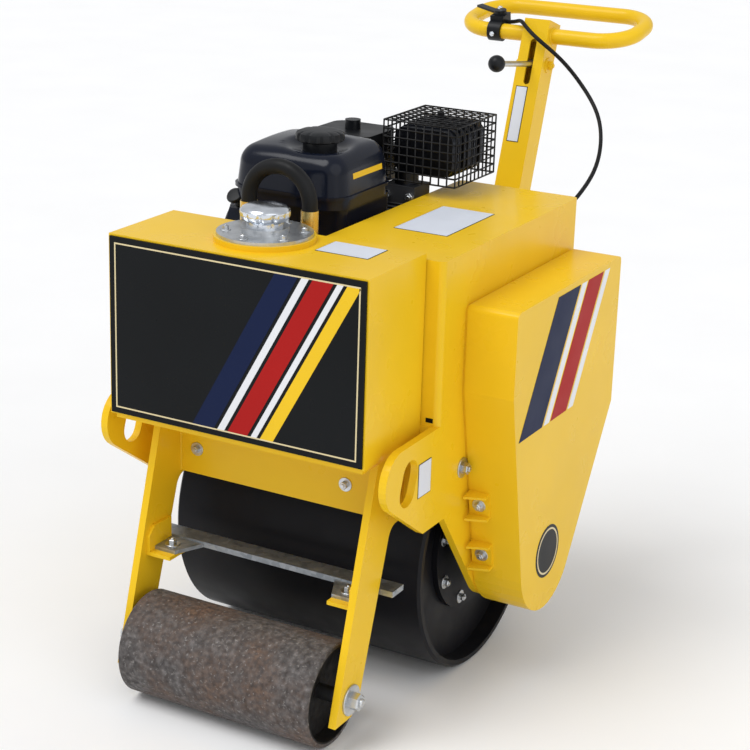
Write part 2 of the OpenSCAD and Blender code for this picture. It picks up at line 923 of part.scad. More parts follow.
module muffler_guard() {
    stud_h = muffler_drop - muffler_rib;
    placed(black) translate([cage_x, cage_y, cage_z]) {
        along_x(0, cage_wire) wire_panel(cage_l, cage_h);
        along_x(cage_w - cage_wire, cage_wire) wire_panel(cage_l, cage_h);
        along_y(cage_l - cage_wire, cage_wire) wire_panel(cage_w, cage_h);
        along_y(0, cage_wire) wire_panel(cage_w, cage_h);
        translate([0, 0, cage_h - cage_wire]) linear_extrude(cage_wire) wire_panel(cage_w, cage_l);
        translate([cage_w / 2, cage_l / 2, cage_h - cage_wire - stud_h])
            cylinder(r = cage_bolt_r, h = stud_h + cage_wire);
    }
}

// Hydraulic hose

module hydraulic_hose() {
    placed(black) translate([hose_x, hose_y, 0]) {
        for (side = [-1, 1])
            translate([side * hose_bend, 0, hose_low]) cylinder(r = hose_r, h = hose_top_z - hose_low);
        translate([0, 0, hose_top_z]) rotate([90, 0, 0])
            rotate_extrude(angle = 180) translate([hose_bend, 0]) circle(r = hose_r);
    }
}

module hose_fittings() {
    placed(zinc) for (side = [-1, 1]) translate([hose_x + side * hose_bend, hose_y, 0]) {
        translate([0, 0, deck_z]) cylinder(r = line_r, h = hose_low - ferrule_h - deck_z);
        translate([0, 0, hose_low - ferrule_h]) cylinder(r = ferrule_r, h = ferrule_h);
        translate([0, 0, deck_z]) cylinder(r = nut_r, h = nut_h, $fn = nut_sides);
    }
}

// Handle

// Places children in the column's own frame: Z along the column, front face towards -Y
module on_column() {
    translate([column_x, column_y, column_z]) rotate([-column_lean, 0, 0]) children();
}

// Places children in the loop's own frame: X along the front bar, Y towards the rear bar
module on_loop() {
    translate([column_x, loop_y, loop_z]) rotate([loop_tilt, 0, 0]) children();
}

module handle_bracket() {
    start = [deck_back + beam_t, deck_z - plate_rear_drop];
    up = [sin(column_lean), cos(column_lean)];
    back = [cos(column_lean), -sin(column_lean)];
    base = [column_y, column_z];
    placed(yellow) for (x = [column_x - column_w / 2 - gusset_t, column_x + column_w / 2])
        along_x(x, gusset_t)
            polygon([
                start, base + back * gusset_wrap, base + up * gusset_h + back * gusset_wrap / 2,
                base + up * gusset_h - back * gusset_wrap / 2, start + [0, plate_rear_drop]]);
}

module handle_column() {
    inner = column_w - 2 * column_wall;
    placed(yellow) on_column() difference() {
        translate([-column_w / 2, -column_w / 2, 0]) cube([column_w, column_w, column_l]);
        translate([-inner / 2, -inner / 2, -over]) cube([inner, inner, column_l - column_wall + over]);
        translate([0, 0, tube_s]) rod_x(-column_w, column_w, tube_r);
        translate([0, -column_w / 2 + column_wall + over, slot_s]) rotate([90, 0, 0])
            linear_extrude(column_wall + 2 * over) rotate(90) capsule(lever_slot_l, lever_slot_w);
    }
}

module handle_loop() {
    side = grip_half + loop_r;
    placed(yellow) on_loop() {
        for (y = [0, loop_depth]) translate([0, y, 0]) rod_x(-grip_half, grip_half, tube_r);
        for (x = [-side, side]) translate([x, 0, 0]) rod_y(loop_r, loop_depth - loop_r, tube_r);
        for (turn = [0, 180]) translate([0, loop_depth / 2, 0]) rotate(turn)
            for (flip = [0, 1]) mirror([flip, 0, 0]) translate([grip_half, loop_depth / 2 - loop_r, 0])
                rotate_extrude(angle = 90) translate([loop_r, 0]) circle(r = tube_r);
    }
}

// Places children in the lever's own frame: its pivot at the origin, the knob towards -Y
module on_lever() {
    on_column() translate([0, 0, slot_s]) rotate([lever_tilt, 0, 0]) children();
}

module speed_lever() {
    inner = column_w / 2 - column_wall;
    placed(zinc) on_lever() {
        rod_y(-column_w / 2 - lever_l, 0, lever_r);
        rod_x(-inner, inner, lever_pin_r);
    }
}

module lever_knob() {
    placed(black) on_lever() translate([0, -column_w / 2 - lever_l, 0]) difference() {
        sphere(r = knob_r);
        rod_y(0, 2 * knob_r, lever_r);
    }
}

module throttle_control() {
    placed(black) on_loop() translate([clamp_x, 0, 0]) difference() {
        union() {
            rod_x(-clamp_l / 2, clamp_l / 2, clamp_r);
            translate([-throttle_body[0] / 2, 0, 0]) cube(throttle_body);
            translate([0, throttle_body[1] / 2, throttle_body[2]]) {
                cylinder(r = throttle_hub_r, h = throttle_hub_h);
                rotate(throttle_lever_turn) translate([-throttle_lever[0] / 2, 0, 0]) cube(throttle_lever);
            }
        }
        rod_x(-throttle_body[0], throttle_body[0], tube_r);
    }
}

function catmull(p, i, t) =
    let (n = len(p) - 1, a = p[max(i - 1, 0)], b = p[i], c = p[min(i + 1, n)], d = p[min(i + 2, n)])
    (2 * b + (c - a) * t + (2 * a - 5 * b + 4 * c - d) * t * t + (3 * b - a - 3 * c + d) * t * t * t) / 2;

// Points along the route, with the given number of steps between two route points
function smooth_path(p, steps) = concat(
    [for (i = [0:len(p) - 2], k = [0:steps - 1]) catmull(p, i, k / steps)], [p[len(p) - 1]]);

// Round tube along a path that nowhere runs along the direction aside
module swept_tube(path, r, sides, aside = [1, 1, 1]) {
    last = len(path) - 1;
    rings = [for (i = [0:last])
        let (t = unit(path[min(i + 1, last)] - path[max(i - 1, 0)]),
            u = unit(cross(t, aside)), v = cross(t, u))
        [for (k = [0:sides - 1]) path[i] + r * (u * cos(k * 360 / sides) + v * sin(k * 360 / sides))]];
    polyhedron(
        points = [for (ring = rings, p = ring) p],
        faces = concat(
            [[for (k = [0:sides - 1]) k]],
            [for (i = [0:last - 1], k = [0:sides - 1]) let (a = i * sides, b = a + sides, m = (k + 1) % sides)
                [a + k, b + k, b + m, a + m]],
            [[for (k = [0:sides - 1]) last * sides + sides - 1 - k]]));
}

module throttle_cable() {
    placed(black) swept_tube(smooth_path(cable_route, cable_steps), cable_r, cable_sides);
}

module cable_gland() {
    placed(black) translate(gland_at) {
        rod_y(0, gland_h, gland_r);
        rod_y(gland_h, gland_h + gland_nose_h, gland_nose_r);
    }
}

deck();
front_beam();
rear_beam();
side_plate_right();
side_plate_left();
tank_tray();
cross_plate();
leg_right();
leg_left();
scraper_brackets();
scraper_bar();
support_axle();
support_roller();
drum_shell();
drum_flanges();
drum_axle();
bearing_cap();
water_tank();
front_panel();
filler_neck();
filler_cap();
upper_cover();
chain_cover();
cover_clips();
engine_rails();
engine_block();
engine_cowl();
engine_cylinder();
carburettor();
fuel_tank();
fuel_cap();
recoil_starter();
air_cleaner();
muffler();
muffler_guard();
hydraulic_hose();
hose_fittings();
handle_bracket();
handle_column();
handle_loop();
speed_lever();
lever_knob();
throttle_control();
throttle_cable();
cable_gland();
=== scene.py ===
"""Looks of a walk-behind single-drum road roller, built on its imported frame.

The frame is in metres. Named sizes and places are in millimetres, and MM turns them into metres.
"""
import json
import math

import bmesh
import bpy
from mathutils import Matrix, Vector


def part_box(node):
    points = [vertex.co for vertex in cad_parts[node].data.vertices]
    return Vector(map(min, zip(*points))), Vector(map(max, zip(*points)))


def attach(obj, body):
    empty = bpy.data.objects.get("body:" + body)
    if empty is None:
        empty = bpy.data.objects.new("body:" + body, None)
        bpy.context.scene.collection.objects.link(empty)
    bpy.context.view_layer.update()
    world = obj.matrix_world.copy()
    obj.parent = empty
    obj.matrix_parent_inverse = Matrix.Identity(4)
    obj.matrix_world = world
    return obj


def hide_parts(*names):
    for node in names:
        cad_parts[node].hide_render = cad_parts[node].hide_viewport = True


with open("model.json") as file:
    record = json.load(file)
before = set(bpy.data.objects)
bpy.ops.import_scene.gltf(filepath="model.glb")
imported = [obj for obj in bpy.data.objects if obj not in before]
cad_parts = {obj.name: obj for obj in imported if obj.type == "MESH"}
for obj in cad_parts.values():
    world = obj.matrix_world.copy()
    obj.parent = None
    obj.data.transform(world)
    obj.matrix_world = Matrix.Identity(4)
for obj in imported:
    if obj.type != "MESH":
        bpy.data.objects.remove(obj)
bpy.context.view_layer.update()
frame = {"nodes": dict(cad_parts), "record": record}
NODES = frame["nodes"]

MM = 0.001
JOINTS = {joint["name"]: joint for joint in frame["record"]["behaviour"]["joints"]}
AXLE = Vector(JOINTS["drum_spin"]["pos_m"])
ROLLER_AXLE = Vector(JOINTS["support_roller_spin"]["pos_m"])
X = Vector((1, 0, 0))
Y = Vector((0, 1, 0))
Z = Vector((0, 0, 1))


# Materials

def new_material(name, colour, roughness, metallic=0.0, coat=0.0, gloss=0.5):
    """A Principled material with its node tree and shader node."""
    material = bpy.data.materials.new(name)
    material.use_nodes = True
    shader = material.node_tree.nodes["Principled BSDF"]
    shader.inputs["Base Color"].default_value = (*colour, 1)
    shader.inputs["Roughness"].default_value = roughness
    shader.inputs["Metallic"].default_value = metallic
    shader.inputs["Coat Weight"].default_value = coat
    shader.inputs["Specular IOR Level"].default_value = gloss
    return material, material.node_tree, shader


NOISE_ENDS = (0.3, 0.7)


def noise(tree, scale, detail):
    """Noise in the object's own space; returns its factor socket."""
    coords = tree.nodes.new("ShaderNodeTexCoord")
    texture = tree.nodes.new("ShaderNodeTexNoise")
    texture.inputs["Scale"].default_value = scale
    texture.inputs["Detail"].default_value = detail
    tree.links.new(coords.outputs["Object"], texture.inputs["Vector"])
    return texture.outputs["Fac"]


def ramp(tree, factor, *stops):
    """A colour ramp over factor; each stop is (position, colour)."""
    node = tree.nodes.new("ShaderNodeValToRGB")
    elements = node.color_ramp.elements
    for position, _ in stops[len(elements):]:
        elements.new(position)
    for element, (position, colour) in zip(elements, stops):
        element.position = position
        element.color = (*colour, 1)
    tree.links.new(factor, node.inputs["Fac"])
    return node.outputs["Color"]


def two_tone(tree, factor, dark, pale):
    """A colour ramp from dark to pale over the range that noise mostly has."""
    return ramp(tree, factor, (NOISE_ENDS[0], dark), (NOISE_ENDS[1], pale))


def spread(tree, factor, low, high, start=NOISE_ENDS[0], end=NOISE_ENDS[1]):
    """Maps factor from start..end to low..high."""
    node = tree.nodes.new("ShaderNodeMapRange")
    node.inputs["From Min"].default_value = start
    node.inputs["From Max"].default_value = end
    node.inputs["To Min"].default_value = low
    node.inputs["To Max"].default_value = high
    tree.links.new(factor, node.inputs["Value"])
    return node.outputs["Result"]


def mix(tree, factor, colour_a, colour_b):
    """Mixes two colour sockets by factor."""
    node = tree.nodes.new("ShaderNodeMix")
    node.data_type = "RGBA"
    tree.links.new(factor, node.inputs["Factor"])
    tree.links.new(colour_a, node.inputs["A"])
    tree.links.new(colour_b, node.inputs["B"])
    return node.outputs["Result"]


def add_bump(tree, shader, height, strength, distance):
    """Feeds a height socket to the shader's normal."""
    node = tree.nodes.new("ShaderNodeBump")
    node.inputs["Strength"].default_value = strength
    node.inputs["Distance"].default_value = distance
    tree.links.new(height, node.inputs["Height"])
    tree.links.new(node.outputs["Normal"], shader.inputs["Normal"])


def scaled(colour, factor):
    """A colour made darker or paler by a factor."""
    return tuple(channel * factor for channel in colour)


# Finishes. Noise layers are (scale, detail), and bumps are (strength, distance in metres). ENDS are
# the noise values where a patch starts and where it is full, MOST is its strength there, and SHARES
# darken and lighten a colour.

PAINT = {"tone": (5, 3), "patches": (8, 3), "dirt": (60, 4), "sheen": (18, 2), "peel": (260, 1)}
PEEL_BUMP = (0.03, 0.0003)
PATCH_ENDS = (0.45, 0.75)
DIRT_SHARE = 0.5
DIRT_GREY = 0.03


def paint(name, colour, roughness, coat=0.0, mottle=0.04, grime=0.0, gloss=0.5):
    """Sprayed paint: slow tone changes, orange peel and, where grime is set, dull dirty patches."""
    material, tree, shader = new_material(name, colour, roughness[0], coat=coat, gloss=gloss)
    pale, deep = scaled(colour, 1 + mottle), scaled(colour, 1 - mottle)
    tone = two_tone(tree, noise(tree, *PAINT["tone"]), deep, pale)
    if grime:
        dirt = tuple(DIRT_SHARE * channel + DIRT_GREY for channel in colour)
        patches = spread(tree, noise(tree, *PAINT["patches"]), 0.0, grime, *PATCH_ENDS)
        tone = mix(tree, patches, tone, two_tone(tree, noise(tree, *PAINT["dirt"]), dirt, colour))
    tree.links.new(tone, shader.inputs["Base Color"])
    tree.links.new(spread(tree, noise(tree, *PAINT["sheen"]), *roughness), shader.inputs["Roughness"])
    add_bump(tree, shader, noise(tree, *PAINT["peel"]), *PEEL_BUMP)
    return material


STAIN = (40, 6)
STAIN_SHARES = (0.8, 1.1)
SHEEN_DETAIL = 4
GRAIN_DETAIL = 3
GRAIN_BUMP = (0.05, 0.0003)


def bare_metal(name, colour, roughness, grain=300):
    """Bare or plated metal with slight staining and a fine grain of the given noise scale."""
    material, tree, shader = new_material(name, colour, roughness[0], metallic=1.0)
    stained, clean = (scaled(colour, share) for share in STAIN_SHARES)
    tree.links.new(two_tone(tree, noise(tree, *STAIN), stained, clean), shader.inputs["Base Color"])
    tree.links.new(spread(tree, noise(tree, grain, SHEEN_DETAIL), *roughness), shader.inputs["Roughness"])
    add_bump(tree, shader, noise(tree, grain, GRAIN_DETAIL), *GRAIN_BUMP)
    return material


SPANGLE_SCALE = 110
SPANGLE_TONES = ((0.1, (0.27, 0.3, 0.33)), (0.9, (0.44, 0.47, 0.5)))
SPANGLE_SHEEN = (80, 5)
SPANGLE_ROUGHNESS = (0.35, 0.55)
SPANGLE_BUMP = (0.05, 0.0005)


def galvanised(name, colour):
    """Hot-dip zinc with its crystal spangle, dulled by use."""
    material, tree, shader = new_material(name, colour, roughness=0.45, metallic=0.85)
    coords = tree.nodes.new("ShaderNodeTexCoord")
    cells = tree.nodes.new("ShaderNodeTexVoronoi")
    cells.inputs["Scale"].default_value = SPANGLE_SCALE
    tree.links.new(coords.outputs["Object"], cells.inputs["Vector"])
    tree.links.new(ramp(tree, cells.outputs["Color"], *SPANGLE_TONES), shader.inputs["Base Color"])
    sheen = spread(tree, noise(tree, *SPANGLE_SHEEN), *SPANGLE_ROUGHNESS)
    tree.links.new(sheen, shader.inputs["Roughness"])
    add_bump(tree, shader, cells.outputs["Distance"], *SPANGLE_BUMP)
    return material


def from_axle(tree, axle):
    """Distance in metres from the line along X through the axle's middle."""
    coords = tree.nodes.new("ShaderNodeTexCoord")
    across = tree.nodes.new("ShaderNodeMapping")
    across.inputs["Scale"].default_value = (0, 1, 1)
    distance = tree.nodes.new("ShaderNodeVectorMath")
    distance.operation = "DISTANCE"
    distance.inputs[1].default_value = (0, axle.y, axle.z)
    tree.links.new(coords.outputs["Object"], across.inputs["Vector"])
    tree.links.new(across.outputs["Vector"], distance.inputs[0])
    return distance.outputs["Value"]


PIPE = {"scale": (120, 10), "rust": (140, 8), "patches": (9, 10), "speck_tone": (200, 3),
        "specks": (190, 6), "bore": (60, 4), "sheen": (70, 6), "pits": (190, 9)}
SCALE_TONES = ((0.3, (0.046, 0.041, 0.04)), (0.5, (0.092, 0.084, 0.082)), (0.72, (0.17, 0.157, 0.154)))
RUST_TONES = ((0.35, (0.052, 0.034, 0.027)), (0.65, (0.175, 0.108, 0.074)))
SPECK_TONES = ((0.3, (0.26, 0.245, 0.235)), (0.7, (0.36, 0.345, 0.33)))
# The bore tones below are painted shade: near-black colour for the pipe's inside
BORE_SHADE_TONES = ((0.3, (0.006, 0.005, 0.005)), (0.7, (0.014, 0.012, 0.011)))
RUST_MOST = 0.85
RUST_ENDS = (0.42, 0.64)
SPECK_MOST = 0.55
SPECK_ENDS = (0.6, 0.7)
PIPE_ROUGHNESS = (0.55, 0.9)
PIPE_BUMP = (0.35, 0.001)


def rusted_pipe(name, colour, axle, bore):
    """Worn steel pipe: grey mill scale, brown rust in patches, pale dried specks, and painted shade that
    darkens its inside to near black.
    """
    material, tree, shader = new_material(name, colour, roughness=0.75, metallic=0.1, gloss=0.35)
    scale = ramp(tree, noise(tree, *PIPE["scale"]), *SCALE_TONES)
    rust = ramp(tree, noise(tree, *PIPE["rust"]), *RUST_TONES)
    patches = spread(tree, noise(tree, *PIPE["patches"]), 0.0, RUST_MOST, *RUST_ENDS)
    body = mix(tree, patches, scale, rust)
    pale = ramp(tree, noise(tree, *PIPE["speck_tone"]), *SPECK_TONES)
    specks = spread(tree, noise(tree, *PIPE["specks"]), 0.0, SPECK_MOST, *SPECK_ENDS)
    outside = mix(tree, specks, body, pale)
    # Painted shade: inside the bore the colour turns near black
    dark = ramp(tree, noise(tree, *PIPE["bore"]), *BORE_SHADE_TONES)
    outwards = spread(tree, from_axle(tree, axle), 0.0, 1.0, bore, bore + MM)
    tree.links.new(mix(tree, outwards, dark, outside), shader.inputs["Base Color"])
    sheen = spread(tree, noise(tree, *PIPE["sheen"]), *PIPE_ROUGHNESS)
    tree.links.new(sheen, shader.inputs["Roughness"])
    add_bump(tree, shader, noise(tree, *PIPE["pits"]), *PIPE_BUMP)
    return material


HOSE = {"tone": (30, 5), "sheen": (60, 4), "weave": (260, 2)}
HOSE_SHARES = (0.7, 1.6)
HOSE_ROUGHNESS = (0.42, 0.65)
HOSE_BUMP = (0.12, 0.0004)


def rubber(name, colour):
    """Matt black rubber with a fine woven grain."""
    material, tree, shader = new_material(name, colour, roughness=0.6, gloss=0.22)
    deep, pale = (scaled(colour, share) for share in HOSE_SHARES)
    tree.links.new(two_tone(tree, noise(tree, *HOSE["tone"]), deep, pale), shader.inputs["Base Color"])
    tree.links.new(spread(tree, noise(tree, *HOSE["sheen"]), *HOSE_ROUGHNESS), shader.inputs["Roughness"])
    add_bump(tree, shader, noise(tree, *HOSE["weave"]), *HOSE_BUMP)
    return material


YELLOW = paint("yellow_paint", (0.87, 0.55, 0.014), (0.26, 0.33), coat=0.03, grime=0.03, gloss=0.2)
DRUM_BLACK = paint("drum_black", (0.007, 0.007, 0.009), (0.36, 0.5), mottle=0.3, grime=0.1, gloss=0.15)
PANEL_BLACK = paint("panel_black", (0.005, 0.006, 0.007), (0.24, 0.34), mottle=0.15, gloss=0.13)
# engine_black's navy tint is partly the paint's own navy-black and partly a painted reflection of the blue
# sky
ENGINE_BLACK = paint("engine_black", (0.006, 0.0085, 0.018), (0.13, 0.2), mottle=0.2, gloss=0.24)
CASTING = paint("engine_casting", (0.024, 0.025, 0.028), (0.42, 0.6), mottle=0.3, grime=0.3)
PLASTIC = paint("black_plastic", (0.006, 0.007, 0.009), (0.32, 0.46), mottle=0.2, gloss=0.25)
WIRE_BLACK = paint("wire_black", (0.006, 0.006, 0.007), (0.32, 0.46), mottle=0.3, gloss=0.25)
CREAM = paint("cream_vinyl", (0.72, 0.6, 0.34), (0.25, 0.4), coat=0.2)
RED = paint("red_vinyl", (0.4, 0.013, 0.012), (0.35, 0.45), gloss=0.08)
WHITE = paint("white_vinyl", (0.78, 0.79, 0.82), (0.25, 0.4), coat=0.3, mottle=0.03)
NAVY = paint("navy_vinyl", (0.009, 0.016, 0.055), (0.35, 0.45), gloss=0.08)
PAPER = paint("label_paper", (0.72, 0.76, 0.84), (0.35, 0.5), coat=0.1)
CHROME = bare_metal("chrome", (0.74, 0.78, 0.84), (0.14, 0.24), grain=60)
ZINC = bare_metal("zinc_plate", (0.62, 0.64, 0.66), (0.28, 0.42))
GOLD_ZINC = bare_metal("yellow_zinc", (0.75, 0.56, 0.2), (0.22, 0.36))
DARK_STEEL = bare_metal("dark_steel", (0.16, 0.16, 0.17), (0.35, 0.5))
MUFFLER_STEEL = bare_metal("muffler_steel", (0.042, 0.046, 0.058), (0.32, 0.5))
GALVANISED = galvanised("galvanised_bar", (0.34, 0.37, 0.4))
PIPE_WALL = 7
RUST = rusted_pipe("rusted_pipe", (0.1, 0.09, 0.085), ROLLER_AXLE, ROLLER_AXLE.z - PIPE_WALL * MM)
RUBBER = rubber("black_rubber", (0.006, 0.0065, 0.0075))

NODE_MATERIALS = {
    DRUM_BLACK: ["drum_shell", "drum_flanges"],
    PANEL_BLACK: ["front_panel"],
    RUST: ["support_roller"],
    GALVANISED: ["scraper_bar"],
    CHROME: ["filler_cap"],
    ZINC: ["filler_neck", "speed_lever"],
    GOLD_ZINC: ["hose_fittings"],
    DARK_STEEL: ["support_axle", "drum_axle"],
    CASTING: ["engine_block", "engine_cylinder", "carburettor"],
    ENGINE_BLACK: ["engine_cowl", "fuel_tank", "recoil_starter"],
    MUFFLER_STEEL: ["muffler"],
    WIRE_BLACK: ["muffler_guard"],
    PLASTIC: ["fuel_cap", "air_cleaner", "lever_knob", "throttle_control", "cable_gland"],
    RUBBER: ["hydraulic_hose", "throttle_cable"],
}
ROUND_EDGE = {"water_tank": 5, "upper_cover": 4, "chain_cover": 4, "recoil_starter": 4, "engine_cowl": 4,
              "air_cleaner": 4, "engine_block": 3, "handle_column": 3}
EDGE = 1.2
EDGE_STEPS = 3
EDGE_ANGLE = math.radians(50)


def dress_frame():
    """Gives every CAD node its material and a small rounded edge."""
    chosen = {name: material for material, names in NODE_MATERIALS.items() for name in names}
    for name, node in NODES.items():
        node.data.materials.clear()
        node.data.materials.append(chosen.get(name, YELLOW))
        bevel = node.modifiers.new("edge", "BEVEL")
        bevel.width = ROUND_EDGE.get(name, EDGE) * MM
        bevel.segments = EDGE_STEPS
        bevel.limit_method = "ANGLE"
        bevel.angle_limit = EDGE_ANGLE
        bevel.harden_normals = True


# Mesh helpers

LARGE_ROUND = 64
NECK_ROUND = 48
SMALL_ROUND = 28
STUD_ROUND = 16
HEX_SIDES = 6
FLUTE_STEPS = 16
WIRE_ROUND = 2


def finish_piece(name, bm, material, body, smooth_angle=35):
    """Turns a bmesh into a piece that rides on a body."""
    mesh = bpy.data.meshes.new(name)
    bmesh.ops.recalc_face_normals(bm, faces=bm.faces)
    bm.to_mesh(mesh)
    bm.free()
    for polygon in mesh.polygons:
        polygon.use_smooth = True
    mesh.set_sharp_from_angle(angle=math.radians(smooth_angle))
    mesh.materials.append(material)
    piece = bpy.data.objects.new(name, mesh)
    bpy.context.collection.objects.link(piece)
    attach(piece, body)
    return piece


def facing(origin, direction, turn=0.0):
    """Matrix that puts local Z along direction at origin, turned about it."""
    rotation = direction.to_track_quat("Z", "Y").to_matrix().to_4x4()
    return Matrix.Translation(origin) @ rotation @ Matrix.Rotation(turn, 4, "Z")


def add_lathe(bm, profile, matrix, segments, flutes=0, depth=0.0):
    """Adds a turned form with flutes of that depth; profile lists (radius, height) in millimetres."""
    rings = []
    for radius, height in profile:
        if radius == 0:
            rings.append([bm.verts.new(matrix @ Vector((0, 0, height * MM)))])
            continue
        ring = []
        for step in range(segments):
            angle = 2 * math.pi * step / segments
            drawn = radius - depth * max(0, math.cos(flutes * angle)) ** 2
            local = Vector((drawn * math.cos(angle), drawn * math.sin(angle), height)) * MM
            ring.append(bm.verts.new(matrix @ local))
        rings.append(ring)
    for lower, upper in zip(rings, rings[1:]):
        for step in range(segments):
            following = (step + 1) % segments
            if len(lower) == 1:
                bm.faces.new((lower[0], upper[following], upper[step]))
            elif len(upper) == 1:
                bm.faces.new((lower[step], lower[following], upper[0]))
            else:
                bm.faces.new((lower[step], lower[following], upper[following], upper[step]))


# Bolt profiles as (radius, height) shares of the head's width across its flats, each from its own foot
HEX_CORNER = 1 / math.sqrt(3)
WASHER = [(0, 0), (1.02, 0), (1.02, 0.098), (0.978, 0.14), (0, 0.14)]
HEAD = [(0, 0), (HEX_CORNER, 0), (HEX_CORNER, 0.53), (0.84 * HEX_CORNER, 0.62), (0, 0.62)]
STUD = [(0, 0), (0.5 * HEX_CORNER, 0), (0.5 * HEX_CORNER, 0.1), (0.4 * HEX_CORNER, 0.16), (0, 0.16)]
FIRST_TURN = 0.3
NEXT_TURN = 0.5
ACROSS = {"cross_bolts": 11, "axle_nuts": 24, "scraper_bolts": 12, "plate_bolts": 16,
          "bearing_bolts": 16, "clip_bolts": 11, "flange_bolts": 8, "engine_foot_bolts": 11,
          "housing_screws": 8, "port_nuts": 13, "drain_bolt": 14, "hub_bolts": 11,
          "lever_bolts": 13, "clamp_screws": 8, "guard_stud": 10}


def add_bolt(bm, origin, direction, across, washer=True, turn=FIRST_TURN):
    """Adds a hex-head bolt of that width across its flats, standing on origin, on a washer or bare."""
    matrix = facing(origin, direction, turn)
    stack = [(HEAD, HEX_SIDES), (STUD, STUD_ROUND)]
    if washer:
        stack.insert(0, (WASHER, SMALL_ROUND))
    foot = 0.0
    for profile, segments in stack:
        sized = [(radius * across, (foot + height) * across) for radius, height in profile]
        add_lathe(bm, sized, matrix, segments)
        foot += profile[-1][1]


def bolts(name, places, body="chassis", material=ZINC, washer=True):
    """A group of bolts as one piece, as wide as ACROSS says; places are (origin, direction) pairs."""
    bm = bmesh.new()
    for index, (origin, direction) in enumerate(places):
        add_bolt(bm, origin, direction, ACROSS[name], washer, FIRST_TURN + NEXT_TURN * index)
    finish_piece(name, bm, material, body)


def sheet_on(name, corners, normal, material, thickness):
    """A thin flat plate or film over the given corner points, standing proud along normal."""
    bm = bmesh.new()
    lift = normal * thickness * MM
    low = [bm.verts.new(point) for point in corners]
    high = [bm.verts.new(point + lift) for point in corners]
    bm.faces.new(low)
    bm.faces.new(high)
    count = len(corners)
    for step in range(count):
        following = (step + 1) % count
        bm.faces.new((low[step], low[following], high[following], high[step]))
    finish_piece(name, bm, material, "chassis", smooth_angle=20)


def wires(name, lines, radius, material, kind="POLY"):
    """Round wires along lists of points, straight between them or smoothed, as one curve piece.

    The bevel is one unit deep, and each point's own radius makes it the wire's radius.
    """
    curve = bpy.data.curves.new(name, "CURVE")
    curve.dimensions = "3D"
    curve.bevel_depth = 1.0
    curve.bevel_resolution = WIRE_ROUND
    for line in lines:
        spline = curve.splines.new(kind)
        spline.points.add(len(line) - 1)
        for point, place in zip(spline.points, line):
            point.co = (*place, 1)
            point.radius = radius * MM
        spline.use_endpoint_u = True
    curve.materials.append(material)
    piece = bpy.data.objects.new(name, curve)
    bpy.context.collection.objects.link(piece)
    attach(piece, "chassis")
    return piece


# Shared places

def at(x, y, z):
    """A point in millimetres, with x and y counted from the middle of the drum's axle."""
    return Vector((AXLE.x + x * MM, AXLE.y + y * MM, z * MM))


def ring_angles(count, first=0.0):
    """Angles of count places spread evenly round a circle."""
    return [first + 2 * math.pi * step / count for step in range(count)]


COLUMN_LEAN = math.radians(18)
COLUMN_UP = Vector((0, math.sin(COLUMN_LEAN), math.cos(COLUMN_LEAN)))
COLUMN_FRONT = Vector((0, -math.cos(COLUMN_LEAN), math.sin(COLUMN_LEAN)))


def on_column(drop, aside=0.0):
    """Point on the column's front face, in millimetres below its top edge and aside of its middle."""
    low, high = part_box("handle_column")
    width = high.x - low.x
    top = Vector(((low.x + high.x) / 2, high.y - width * math.cos(COLUMN_LEAN), high.z))
    return top + X * aside * MM - COLUMN_UP * drop * MM


LOOP_TILT = math.radians(10)
LOOP_BACK = Vector((0, math.cos(LOOP_TILT), math.sin(LOOP_TILT)))
LOOP_UP = Vector((0, -math.sin(LOOP_TILT), math.cos(LOOP_TILT)))
CLAMP = {"radius": 18, "half": 13, "hub": (15, 34)}


def throttle_point(back, up):
    """Point in the throttle's middle plane, in millimetres behind the handle tube's axis and above it."""
    low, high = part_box("throttle_control")
    radius = CLAMP["radius"] * MM
    tube = Vector((high.x - CLAMP["half"] * MM, low.y + radius, low.z + radius))
    return tube + LOOP_BACK * back * MM + LOOP_UP * up * MM


# Stripes and blank plates

PANEL_INSET = 9
PANEL_LINE = 2.2
PANEL_SLANT = 0.55
PANEL_START = 0.5
PANEL_BANDS = [(0, 38, NAVY), (44, 12, WHITE), (62, 34, RED), (102, 10, WHITE), (118, 22, YELLOW)]
FILM = 0.4


def panel_patch(name, outline, material):
    """A film on the front panel over an outline of (x, z) points."""
    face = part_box("front_panel")[0].y
    sheet_on(name, [Vector((x, face, z)) for x, z in outline], -Y, material, FILM)


def panel_border(left, right, bottom, top):
    """The thin line round the front panel."""
    line = PANEL_LINE * MM
    bars = {"bottom": (left, right, bottom, bottom + line), "top": (left, right, top - line, top),
            "left": (left, left + line, bottom + line, top - line),
            "right": (right - line, right, bottom + line, top - line)}
    for name, (x0, x1, z0, z1) in bars.items():
        panel_patch(f"panel_line_{name}", [(x0, z0), (x1, z0), (x1, z1), (x0, z1)], CREAM)


def front_panel_art():
    """Thin border line and slanted bands on the tank's front panel."""
    low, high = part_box("front_panel")
    inset = PANEL_INSET * MM
    left, right = low.x + inset, high.x - inset
    bottom, top = low.z + inset, high.z - inset
    panel_border(left, right, bottom, top)
    z0, z1 = bottom + PANEL_LINE * MM, top - PANEL_LINE * MM
    lean = PANEL_SLANT * (z1 - z0) / 2
    start = left + PANEL_START * (right - left)
    for index, (offset, width, material) in enumerate(PANEL_BANDS):
        x0 = start + offset * MM
        x1 = x0 + width * MM
        outline = [(x0 - lean, z0), (x1 - lean, z0), (x1 + lean, z1), (x0 + lean, z1)]
        panel_patch(f"panel_band_{index}", outline, material)


COVER_INSET = 10
COVER_BAND_H = 200
COVER_LEAN = (36, 84)
COVER_BANDS = [(52, 84, NAVY), (142, 20, WHITE), (168, 60, RED), (234, 20, WHITE)]
COVER_DISC_Y = 15
COVER_DISC_R = 44
COVER_RING_R = (36, 39)


